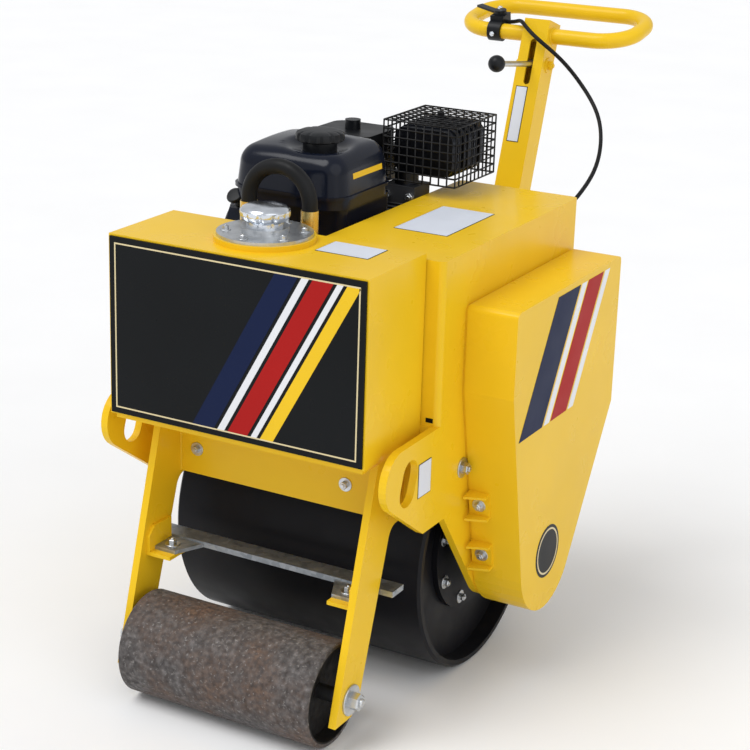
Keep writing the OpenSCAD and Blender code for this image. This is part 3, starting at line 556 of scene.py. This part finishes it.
def chain_cover_art():
    """Slanted bands across the chain cover's outer side."""
    low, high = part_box("chain_cover")
    front = low.y + COVER_INSET * MM
    top = high.z - COVER_INSET * MM
    bottom = top - COVER_BAND_H * MM
    foot_lean, top_lean = (lean * MM for lean in COVER_LEAN)
    for index, (offset, width, material) in enumerate(COVER_BANDS):
        y0 = front + offset * MM
        y1 = y0 + width * MM
        outline = [(y0 - foot_lean, bottom), (y1 - foot_lean, bottom),
                   (y1 + top_lean, top), (y0 + top_lean, top)]
        sheet_on(f"cover_band_{index}", [Vector((high.x, y, z)) for y, z in outline], X, material, FILM)


def chain_cover_disc():
    """A plain round plate with a ring at the chain cover's foot."""
    face = Vector((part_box("chain_cover")[1].x, AXLE.y + COVER_DISC_Y * MM, AXLE.z))
    matrix = facing(face, X)
    disc = bmesh.new()
    add_lathe(disc, [(0, 0), (COVER_DISC_R, 0), (COVER_DISC_R, FILM), (0, FILM)], matrix, LARGE_ROUND)
    finish_piece("cover_disc", disc, PANEL_BLACK, "chassis")
    inner, outer = COVER_RING_R
    ring = bmesh.new()
    profile = [(inner, FILM), (outer, FILM), (outer, 2 * FILM), (inner, 2 * FILM), (inner, FILM)]
    add_lathe(ring, profile, matrix, LARGE_ROUND)
    finish_piece("cover_disc_ring", ring, CREAM, "chassis")


LABEL_EDGE = 1.2


def label(name, middle, across, along, size):
    """A blank printed plate of (width, length): a paper face on a slightly larger dark film."""
    normal = across.cross(along)
    width, length = size
    layers = (("edge", PANEL_BLACK, 0, FILM), ("face", PAPER, LABEL_EDGE, 2 * FILM))
    for suffix, material, inset, lift in layers:
        side = across * (width / 2 - inset) * MM
        end = along * (length / 2 - inset) * MM
        corners = [middle - side - end, middle + side - end, middle + side + end, middle - side + end]
        sheet_on(f"{name}_{suffix}", corners, normal, material, lift)


FILLER_RING = 8
TANK_LABEL = {"x": 124, "y": -273, "size": (88, 60)}
COVER_LABEL = {"x": 140, "y": -7, "size": (92, 166)}
EAR_LABEL = {"y": -260, "z": 412, "size": (40, 54)}
COLUMN_LABEL = {"drop": 168, "aside": -6, "size": (22, 98)}


def plain_labels():
    """Blank plates on the tank, the belt cover, the right ear and the handle column."""
    tank_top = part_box("water_tank")[1].z / MM - FILLER_RING
    cover_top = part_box("upper_cover")[1].z / MM
    ear_face = (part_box("side_plate_right")[1].x - AXLE.x) / MM
    tank_place = at(TANK_LABEL["x"], TANK_LABEL["y"], tank_top)
    label("tank_label", tank_place, X, Y, TANK_LABEL["size"])
    cover_place = at(COVER_LABEL["x"], COVER_LABEL["y"], cover_top)
    label("cover_label", cover_place, X, Y, COVER_LABEL["size"])
    ear_place = at(ear_face, EAR_LABEL["y"], EAR_LABEL["z"])
    label("ear_label", ear_place, Y, Z, EAR_LABEL["size"])
    column_place = on_column(COLUMN_LABEL["drop"], COLUMN_LABEL["aside"])
    label("column_label", column_place, X, COLUMN_UP, COLUMN_LABEL["size"])


# Fuel tank and caps

FUEL = {"corner": 42, "least_corner": 12, "lip": 4, "lip_foot": 16, "lip_top": 21, "taper": 7 / 57,
        "edge": 25, "crown": 11, "rise": 5, "wider": 24}
FUEL_DISH = (32, 62)
CORNER_STEPS = 9
SIDE_STEPS = 8
SHOULDER_STEPS = 8
CROWN_RINGS = 14


def tank_ring(low, high, inset):
    """Plan view points of a rounded rectangle, drawn in from the box by inset millimetres."""
    radius = max(FUEL["corner"] - inset, FUEL["least_corner"]) * MM
    pull = inset * MM + radius
    middles = [(high.x - pull, high.y - pull), (low.x + pull, high.y - pull),
               (low.x + pull, low.y + pull), (high.x - pull, low.y + pull)]
    corners = []
    for quarter, (x, y) in enumerate(middles):
        angles = [(quarter + step / CORNER_STEPS) * math.pi / 2 for step in range(CORNER_STEPS + 1)]
        corners.append([Vector((x + radius * math.cos(a), y + radius * math.sin(a))) for a in angles])
    ring = []
    for corner, following in zip(corners, corners[1:] + corners[:1]):
        ring += corner
        ring += [corner[-1].lerp(following[0], step / SIDE_STEPS) for step in range(1, SIDE_STEPS)]
    return ring


def tank_rows(height):
    """(inset, level) rows in millimetres up the tank's wall, over its lip and round its top edge."""
    lip, edge = FUEL["lip"], FUEL["edge"]
    shoulder = height - edge
    wall = lip + FUEL["taper"] * (shoulder - FUEL["lip_top"])
    rows = [(lip, 0), (lip, FUEL["lip_foot"]), (0, FUEL["lip_foot"]), (0, FUEL["lip_top"]),
            (lip, FUEL["lip_top"]), (wall, shoulder)]
    for step in range(1, SHOULDER_STEPS + 1):
        angle = math.pi / 2 * step / SHOULDER_STEPS
        rows.append((wall + edge * (1 - math.cos(angle)), shoulder + edge * math.sin(angle)))
    return rows


def tank_lift(place, low, high, cap):
    """Millimetres that the tank's top rises at a place: its crown and rise, less the dish at the cap."""
    u = 2 * (place.x - low.x) / (high.x - low.x) - 1
    v = 2 * (place.y - low.y) / (high.y - low.y) - 1
    crown = FUEL["crown"] * (1 - u * u) * (1 - v * v) + FUEL["rise"] * (v + 1) / 2
    near, far = FUEL_DISH
    away = (place - cap).length / MM
    share = min(max((away - near) / (far - near), 0), 1)
    return crown * share * share * (3 - 2 * share)


def tank_rings(low, high):
    """(points, level in millimetres) of each ring, from the tank's foot to the middle of its top."""
    height = (high.z - low.z) / MM
    rings = [(tank_ring(low, high, inset), level) for inset, level in tank_rows(height)]
    rim, centre = rings[-1][0], ((low + high) / 2).xy
    for step in range(1, CROWN_RINGS):
        rings.append(([place.lerp(centre, step / CROWN_RINGS) for place in rim], height))
    return [*rings, ([centre], height)]


def join_loops(bm, loops):
    """Closes the lowest loop of vertices and joins each loop to the next, or to a single vertex."""
    bm.faces.new(loops[0])
    for lower, upper in zip(loops, loops[1:]):
        for step in range(len(lower)):
            following = (step + 1) % len(lower)
            top = [upper[0]] if len(upper) == 1 else [upper[following], upper[step]]
            bm.faces.new([lower[step], lower[following], *top])


def fuel_shell():
    """The fuel tank with a crowned top and a dish round its cap, in place of its plainer solid."""
    low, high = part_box("fuel_tank")
    low = low - X * FUEL["wider"] * MM
    shoulder = (high.z - low.z) / MM - FUEL["edge"]
    cap = sum(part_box("fuel_cap"), Vector()).xy / 2
    bm = bmesh.new()
    loops = []
    for ring, level in tank_rings(low, high):
        share = max(level - shoulder, 0) / FUEL["edge"]
        lifts = [level + share * tank_lift(place, low, high, cap) for place in ring]
        loops.append([bm.verts.new((*place, low.z + lift * MM)) for place, lift in zip(ring, lifts)])
    join_loops(bm, loops)
    shell = finish_piece("fuel_shell", bm, ENGINE_BLACK, "chassis", smooth_angle=40)
    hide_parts("fuel_tank")


FILLER_FOOT = [(0, 0), (28, 0), (28, 9), (0, 9)]
FILLER_GRIP = [(0, 7), (29, 7), (33, 10), (36.5, 14), (38, 18.5), (37.5, 24), (0, 24)]
FILLER_CROWN = [(0, 21), (34, 21), (36.4, 24), (34.5, 27.5), (30, 29.8), (20, 31.2), (0, 32)]
FILLER_FLUTES = 10
FILLER_FLUTE = 3.5


def filler_lid():
    """The filler cap as a fluted grip under a smooth domed crown."""
    low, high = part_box("filler_cap")
    matrix = facing(Vector(((low.x + high.x) / 2, (low.y + high.y) / 2, low.z)), Z)
    bm = bmesh.new()
    add_lathe(bm, FILLER_FOOT, matrix, NECK_ROUND)
    add_lathe(bm, FILLER_GRIP, matrix, FLUTE_STEPS * FILLER_FLUTES, FILLER_FLUTES, FILLER_FLUTE)
    add_lathe(bm, FILLER_CROWN, matrix, LARGE_ROUND)
    lid = finish_piece("filler_lid", bm, CHROME, "chassis", smooth_angle=45)
    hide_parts("filler_cap")


FUEL_NECK = [(0, -6), (27, -6), (27, 17), (0, 17)]
FUEL_LID = [(0, 15), (36, 15), (39, 17), (39, 24), (37, 28), (31, 30.5), (20, 31.5), (0, 32)]
LID_FLUTES = 12
LID_FLUTE = 2.2


def fuel_lid():
    """The fuel cap, fluted and slightly domed, on its neck in the tank's dish."""
    low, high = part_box("fuel_cap")
    matrix = facing(Vector(((low.x + high.x) / 2, (low.y + high.y) / 2, low.z)), Z)
    bm = bmesh.new()
    add_lathe(bm, FUEL_NECK, matrix, NECK_ROUND)
    add_lathe(bm, FUEL_LID, matrix, FLUTE_STEPS * LID_FLUTES, LID_FLUTES, LID_FLUTE)
    lid = finish_piece("fuel_lid", bm, PLASTIC, "chassis")
    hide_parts("fuel_cap")


FUEL_STRIP = {"bottom": 23, "top": 32, "half": 46, "back": 5}


def fuel_strip():
    """A plain yellow strip on the fuel tank's right side, on the sloping shell above the seam."""
    low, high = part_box("fuel_tank")
    up = Vector((-FUEL["taper"], 0, 1)).normalized()
    foot = Vector((high.x - FUEL["lip"] * MM, (low.y + high.y) / 2 + FUEL_STRIP["back"] * MM,
                   low.z + FUEL["lip_top"] * MM))
    bottom, top = (up * FUEL_STRIP[end] * MM for end in ("bottom", "top"))
    half = Y * FUEL_STRIP["half"] * MM
    corners = [foot + bottom - half, foot + bottom + half, foot + top + half, foot + top - half]
    sheet_on("fuel_strip", corners, Y.cross(up), YELLOW, FILM)


# Fasteners and small fittings

CROSS_BOLTS_X = (-155, 115)
CROSS_BOLT_RISE = 0.34
PLATE_BOLT = (-134, 387)
SCRAPER_TAB = {"x": 160, "back": 20, "thick": 6}
FLANGE_H = 5
FLANGE_BOLTS = 6
FLANGE_BOLT_R = 58
FLANGE_FIRST = 0.5
BEARING_BOSS = 16
BEARING_BOLTS = 6
BEARING_BOLT_R = 65
RAIL_BOLT = (20, 7)
RECOIL_COVER = 16
HOUSING_SCREW = (64, 67)
CLIP_SLOPE = math.radians(11.6)
CLIP_BOLTS = ((271, -111.3, 321.2), (271, -92.8, 231.1))


def leg_bolts():
    """Fasteners on the legs, the cross plate and the scraper."""
    low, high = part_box("cross_plate")
    level = low.z + CROSS_BOLT_RISE * (high.z - low.z)
    bolts("cross_bolts", [(Vector((AXLE.x + x * MM, low.y, level)), -Y) for x in CROSS_BOLTS_X])
    right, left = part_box("leg_right")[1].x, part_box("leg_left")[0].x
    bolts("axle_nuts", [(Vector((right, *ROLLER_AXLE.yz)), X), (Vector((left, *ROLLER_AXLE.yz)), -X)])
    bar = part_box("scraper_bar")[0]
    y, z = bar.y + SCRAPER_TAB["back"] * MM, bar.z + SCRAPER_TAB["thick"] * MM
    tabs = (AXLE.x - SCRAPER_TAB["x"] * MM, AXLE.x + SCRAPER_TAB["x"] * MM)
    bolts("scraper_bolts", [(Vector((x, y, z)), Z) for x in tabs])


def plate_bolts():
    """Fasteners on the side plates, the bearing cap and the chain cover's clips."""
    right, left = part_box("side_plate_right")[1].x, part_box("side_plate_left")[0].x
    y, z = AXLE.y + PLATE_BOLT[0] * MM, PLATE_BOLT[1] * MM
    bolts("plate_bolts", [(Vector((right, y, z)), X), (Vector((left, y, z)), -X)])
    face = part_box("bearing_cap")[0].x + BEARING_BOSS * MM
    angles = ring_angles(BEARING_BOLTS)
    ring = [Vector((0, math.cos(a), math.sin(a))) * BEARING_BOLT_R * MM for a in angles]
    centre = Vector((face, AXLE.y, AXLE.z))
    bolts("bearing_bolts", [(centre + spoke, -X) for spoke in ring])
    outward = Vector((0, -math.cos(CLIP_SLOPE), -math.sin(CLIP_SLOPE)))
    bolts("clip_bolts", [(at(*place), outward) for place in CLIP_BOLTS])


def filler_bolts():
    """Small screws round the filler flange."""
    low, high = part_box("filler_neck")
    centre = Vector(((low.x + high.x) / 2, (low.y + high.y) / 2, low.z + FLANGE_H * MM))
    angles = ring_angles(FLANGE_BOLTS, FLANGE_FIRST)
    ring = [Vector((math.cos(a), math.sin(a), 0)) * FLANGE_BOLT_R * MM for a in angles]
    bolts("flange_bolts", [(centre + spoke, Z) for spoke in ring])


def engine_bolts():
    """Bolts of the engine's feet and screws of the fan housing."""
    low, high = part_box("engine_rails")
    aside, inset = (size * MM for size in RAIL_BOLT)
    feet = [(Vector((x, y, high.z)), Z) for x in (low.x + aside, high.x - aside)
            for y in (low.y + inset, high.y - inset)]
    bolts("engine_foot_bolts", feet)
    low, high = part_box("recoil_starter")
    middle = (low + high) / 2
    back, up = (size * MM for size in HOUSING_SCREW)
    face = low.x + RECOIL_COVER * MM
    screws = [(Vector((face, y, z)), -X) for y in (middle.y - back, middle.y + back)
              for z in (middle.z - up, middle.z + up)]
    bolts("housing_screws", screws)


PORT_NUTS = ((14, 116, 728), (-30, 116, 728))
OIL_CAP = {"aside": 40, "rise": 34, "tilt": 0.5}
OIL_CAP_PROFILE = [(0, -6), (13, -6), (13, 8), (17, 10), (17, 20), (14, 23), (0, 23)]


def engine_fittings():
    """Nuts on the exhaust port, and the oil filler and drain bolt at the front of the crankcase."""
    bolts("port_nuts", [(at(*place), -Y) for place in PORT_NUTS], washer=False)
    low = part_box("engine_block")[0]
    outward = Vector((0, -1, OIL_CAP["tilt"])).normalized()
    left, right = (corner.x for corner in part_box("engine_cowl"))
    place = Vector((right - OIL_CAP["aside"] * MM, low.y, low.z + OIL_CAP["rise"] * MM))
    bm = bmesh.new()
    add_lathe(bm, OIL_CAP_PROFILE, facing(place, outward), SMALL_ROUND)
    finish_piece("oil_cap", bm, PLASTIC, "chassis")
    drain = Vector((left + OIL_CAP["aside"] * MM, low.y, low.z + OIL_CAP["rise"] * MM))
    bolts("drain_bolt", [(drain, -Y)])


# Place and size of the black film painted as the shade of the belt cover's slot
NOTCH = {"inset": 15, "rise": 6, "width": 12, "height": 7}


def cover_slot_shade():
    """A black film of painted shade where the small slot sits at the foot of the belt cover's front."""
    low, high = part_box("upper_cover")
    x, z = high.x - NOTCH["inset"] * MM, low.z + NOTCH["rise"] * MM
    half, height = NOTCH["width"] / 2 * MM, NOTCH["height"] * MM
    outline = [(x - half, z), (x + half, z), (x + half, z + height), (x - half, z + height)]
    sheet_on("cover_slot_shade", [Vector((px, low.y, pz)) for px, pz in outline], -Y, PANEL_BLACK, FILM)


GRIP_PROFILE = [(0, -4), (8, -4), (8, 4), (5, 7), (5, 12), (13, 18), (14, 22), (12, 25), (0, 26)]
HOUSING_CORNER = 46


def rope_grip():
    """The starter rope's grip on the rounded upper corner of the fan housing."""
    low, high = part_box("recoil_starter")
    outward = Vector((0, -1, 1)).normalized()
    radius = HOUSING_CORNER * MM
    corner = Vector((low.x + 2 * RECOIL_COVER * MM, low.y + radius, high.z - radius))
    bm = bmesh.new()
    add_lathe(bm, GRIP_PROFILE, facing(corner + outward * radius, outward), SMALL_ROUND)
    finish_piece("rope_grip", bm, PLASTIC, "chassis")


HUB_BOLTS = 8
HUB_BOLT_R = 100
HUB_FIRST = math.radians(208)


def drum_bolts():
    """Hub bolts on both ends of the drum, which turn with it."""
    low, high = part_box("drum_flanges")
    places = []
    for face, outward in ((low.x, -X), (high.x, X)):
        for a in ring_angles(HUB_BOLTS, HUB_FIRST):
            spoke = Vector((0, math.cos(a), math.sin(a))) * HUB_BOLT_R * MM
            places.append((Vector((face, AXLE.y, AXLE.z)) + spoke, outward))
    bolts("hub_bolts", places, body="drum")


LEVER_DROP = 75


def handle_bolts():
    """The speed lever's pivot bolts and the throttle clamp's screws."""
    low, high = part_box("handle_column")
    half = (high.x - low.x) / 2
    pivot = on_column(LEVER_DROP) - COLUMN_FRONT * half
    bolts("lever_bolts", [(pivot + X * half, X), (pivot - X * half, -X)], material=YELLOW)
    front = throttle_point(-CLAMP["radius"], 0)
    screws = [(front, -Y), (throttle_point(*CLAMP["hub"]), LOOP_UP)]
    bolts("clamp_screws", screws, material=CHROME, washer=False)


TUBE_R = 13.5
WELD_R = 2.4
WELD_STEPS = 24


def tube_welds():
    """Weld beads where the handle tube goes into the column."""
    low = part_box("handle_loop")[0]
    column_low, column_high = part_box("handle_column")
    y, z = low.y + TUBE_R * MM, low.z + TUBE_R * MM
    spokes = [Vector((0, math.cos(a), math.sin(a))) * TUBE_R * MM for a in ring_angles(WELD_STEPS)]
    rings = []
    for x in (column_low.x, column_high.x):
        ring = [Vector((x, y, z)) + spoke for spoke in spokes]
        rings.append(ring + ring[:1])
    wires("tube_welds", rings, WELD_R, YELLOW)


def frame_welds():
    """Weld beads of the cross plate on the legs and of the handle bracket on the rear beam."""
    low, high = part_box("cross_plate")
    lines = [[Vector((x, low.y, low.z)), Vector((x, low.y, high.z))] for x in (low.x, high.x)]
    beam_low, beam_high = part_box("rear_beam")
    bracket_low, bracket_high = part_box("handle_bracket")
    for x in (bracket_low.x, bracket_high.x):
        lines.append([Vector((x, beam_high.y, beam_low.z)), Vector((x, beam_high.y, beam_high.z))])
    wires("frame_welds", lines, WELD_R, YELLOW)


# Throttle cable

CABLE_R = 3.5
CABLE_LEAD = 16
CABLE_BENDS = [(17, -5, 33), (18, -9, 44), (27, 1, 47), (33, 28, 49), (35, 64, 45), (40, 86, 39),
               (52, 91, 32), (57, 89, 26), (54, 79, 17), (45, 62, 10), (28, 39, 5)]
THROTTLE_EXIT = (15, 13)


def throttle_cable():
    """The cable as one smooth round cord, from the throttle's body to the gland in the belt cover."""
    start = throttle_point(*THROTTLE_EXIT) + X * CLAMP["half"] * MM
    low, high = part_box("cable_gland")
    end = Vector(((low.x + high.x) / 2, high.y, (low.z + high.z) / 2))
    step = (end - start) / (len(CABLE_BENDS) + 1)
    bends = [start + step * (index + 1) + Vector(bend) * MM for index, bend in enumerate(CABLE_BENDS)]
    points = [start, start + X * CABLE_LEAD * MM, *bends, end + Y * CABLE_LEAD * MM, end]
    cable = wires("cable_sleeve", [points], CABLE_R, RUBBER, "NURBS")
    cable.data.use_fill_caps = True
    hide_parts("throttle_cable")


# Muffler guard

GUARD_WIRE_R = 1.5
GUARD_PITCH = 13.5
GUARD_STUD = {"radius": 6, "length": 12, "round": 20}


def guard_lines():
    """Wire paths of the guard: hoops over it both ways and rings round it."""
    low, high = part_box("muffler_guard")
    edge = Vector((1, 1, 1)) * GUARD_WIRE_R * MM
    low, high = low + edge, high - edge

    def steps(axis):
        """Even places along an axis, about one pitch apart."""
        span = high[axis] - low[axis]
        count = int(span / (GUARD_PITCH * MM))
        return [low[axis] + span * step / count for step in range(count + 1)]

    lines = []
    for x in steps(0):
        lines.append([Vector((x, y, z)) for y, z in
                      ((low.y, low.z), (low.y, high.z), (high.y, high.z), (high.y, low.z))])
    for y in steps(1):
        lines.append([Vector((x, y, z)) for x, z in
                      ((low.x, low.z), (low.x, high.z), (high.x, high.z), (high.x, low.z))])
    for z in steps(2):
        lines.append([Vector((x, y, z)) for x, y in
                      ((low.x, low.y), (high.x, low.y), (high.x, high.y), (low.x, high.y), (low.x, low.y))])
    return lines


def muffler_wires():
    """Round wires in place of the guard's square bars, with the stud that holds them to the muffler."""
    guard = wires("guard_wires", guard_lines(), GUARD_WIRE_R, WIRE_BLACK)
    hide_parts("muffler_guard")
    low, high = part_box("muffler_guard")
    top = Vector(((low.x + high.x) / 2, (low.y + high.y) / 2, high.z))
    radius, length = GUARD_STUD["radius"], GUARD_STUD["length"]
    bm = bmesh.new()
    shank = [(0, -length), (radius, -length), (radius, 0), (0, 0)]
    add_lathe(bm, shank, facing(top, Z), GUARD_STUD["round"])
    add_bolt(bm, top, Z, ACROSS["guard_stud"])
    finish_piece("guard_stud", bm, WIRE_BLACK, "chassis")


# Stage, light and camera

# The floor's size is in metres, the widths of the lights in degrees
FLOOR_SIZE = 60
FLOOR_TONES = ((0.3, (0.93, 0.93, 0.93)), (0.7, (0.95, 0.95, 0.95)))
FLOOR_GRAIN = (3, 3)
WORLD_COLOUR = (0.97, 0.98, 1.0, 1)
WORLD_STRENGTH = 0.6
KEY_LIGHT = {"towards": (-0.5, -0.8, 1.6), "strength": 1.4, "width": 35}
FILL_LIGHT = {"towards": (1.2, -0.6, 0.8), "strength": 0.6, "width": 60}


def floor():
    """A plain pale floor."""
    bpy.ops.mesh.primitive_plane_add(size=FLOOR_SIZE)
    plane = bpy.context.object
    plane.name = "floor"
    material, tree, shader = new_material("floor_pale", FLOOR_TONES[1][1], roughness=0.8, gloss=0.1)
    tree.links.new(ramp(tree, noise(tree, *FLOOR_GRAIN), *FLOOR_TONES), shader.inputs["Base Color"])
    plane.data.materials.append(material)


def sun(name, towards, strength, width):
    """A soft sun lamp that shines from the direction towards it; width is its angle in degrees."""
    light = bpy.data.lights.new(name, "SUN")
    light.energy = strength
    light.angle = math.radians(width)
    holder = bpy.data.objects.new(name, light)
    holder.matrix_world = facing(Vector(), Vector(towards))
    bpy.context.collection.objects.link(holder)


def studio():
    """Even pale surroundings with a soft key light from the upper front and a fill from the right."""
    world = bpy.data.worlds.new("studio")
    bpy.context.scene.world = world
    world.use_nodes = True
    background = world.node_tree.nodes["Background"]
    background.inputs["Color"].default_value = WORLD_COLOUR
    background.inputs["Strength"].default_value = WORLD_STRENGTH
    sun("key", **KEY_LIGHT)
    sun("fill", **FILL_LIGHT)


# Place from the middle of the axle, angles in degrees, and the photograph's own pixels
CAMERA_PLACE = (1442.9, -2627.5, 1477.3)
CAMERA_ANGLES = {"yaw": 30.2, "pitch": 18.56, "roll": 1.22}
IMAGE = 750
FOCAL = 1934.8
CENTRE = (318.2, 361.9)
SENSOR = 36


def photo_camera():
    """Pinhole camera found from the photograph's vanishing lines and the drum's size."""
    yaw, pitch, roll = (math.radians(CAMERA_ANGLES[name]) for name in ("yaw", "pitch", "roll"))
    forward = Vector((-math.sin(yaw) * math.cos(pitch), math.cos(yaw) * math.cos(pitch), -math.sin(pitch)))
    level = Vector((math.cos(yaw), math.sin(yaw), 0))
    upright = level.cross(forward)
    right = level * math.cos(roll) + upright * math.sin(roll)
    up = upright * math.cos(roll) - level * math.sin(roll)
    camera = bpy.data.cameras.new("photo_camera")
    camera.sensor_width = SENSOR
    camera.lens = FOCAL / IMAGE * SENSOR
    camera.shift_x = (IMAGE / 2 - CENTRE[0]) / IMAGE
    camera.shift_y = (CENTRE[1] - IMAGE / 2) / IMAGE
    holder = bpy.data.objects.new("photo_camera", camera)
    rotation = Matrix((right, up, -forward)).transposed().to_4x4()
    holder.matrix_world = Matrix.Translation(at(*CAMERA_PLACE)) @ rotation
    bpy.context.collection.objects.link(holder)
    bpy.context.scene.camera = holder


photo_camera()
dress_frame()
front_panel_art()
chain_cover_art()
chain_cover_disc()
plain_labels()
filler_lid()
fuel_shell()
fuel_lid()
fuel_strip()
leg_bolts()
plate_bolts()
filler_bolts()
engine_bolts()
engine_fittings()
cover_slot_shade()
rope_grip()
drum_bolts()
handle_bolts()
tube_welds()
frame_welds()
throttle_cable()
muffler_wires()
floor()
studio()

bpy.context.scene.view_settings.view_transform = "Standard"
